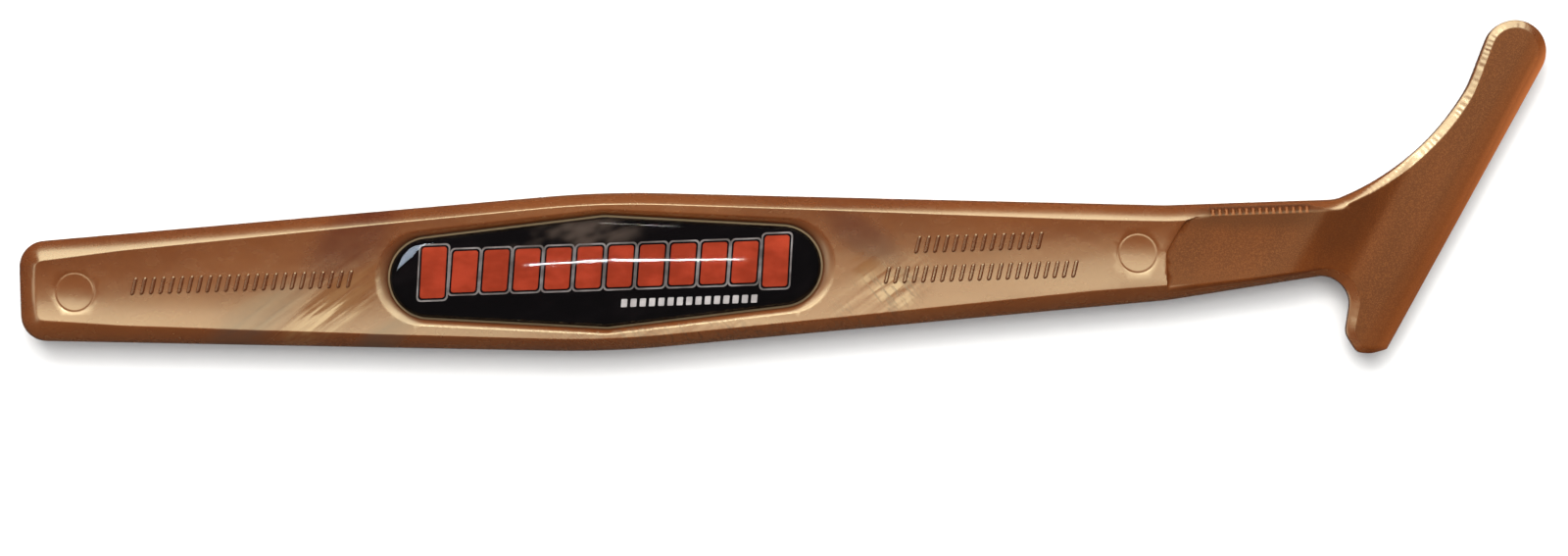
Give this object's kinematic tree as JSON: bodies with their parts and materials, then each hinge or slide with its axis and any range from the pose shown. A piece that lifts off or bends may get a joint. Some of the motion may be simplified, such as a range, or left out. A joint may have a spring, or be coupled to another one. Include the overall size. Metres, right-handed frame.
{
  "type": "film squeegee",
  "caption": "Flat moulded hand squeegee with a domed badge in its handle and a thin, skewed T-shaped blade that flexes.",
  "frame": {"origin": "on the flat back of the handle, under the handle's axis at its widest station", "axes": "+X along the handle towards the blade, +Z out of the front towards the badge, +Y towards the blade's long arm"},
  "size_m": [0.1904, 0.0408, 0.0063],
  "materials": {
    "pearl_plastic": "pearl gold pigment, satin moulded finish, fine grain on the neck and blade",
    "plated_magnet": "nickel plated",
    "adhesive": "pressure-sensitive sheet",
    "badge_print": "black film with printed orange-red blocks",
    "clear_resin": "clear domed polyurethane"
  },
  "bodies": {
    "handle": {"handle": "pearl_plastic", "magnet": "plated_magnet", "badge_adhesive": "adhesive", "badge_film": "badge_print", "badge_dome": "clear_resin"},
    "blade": {"blade": "pearl_plastic"}
  },
  "joints": [
    {"name": "blade_flex", "type": "hinge", "parent": "handle", "child": "blade", "pos_m": [0.09596, 0.00275, 0.003], "axis": [0.512, 0.859, 0], "range_deg": [-12, 12], "stiffness_Nm_per_rad": 2}
  ]
}
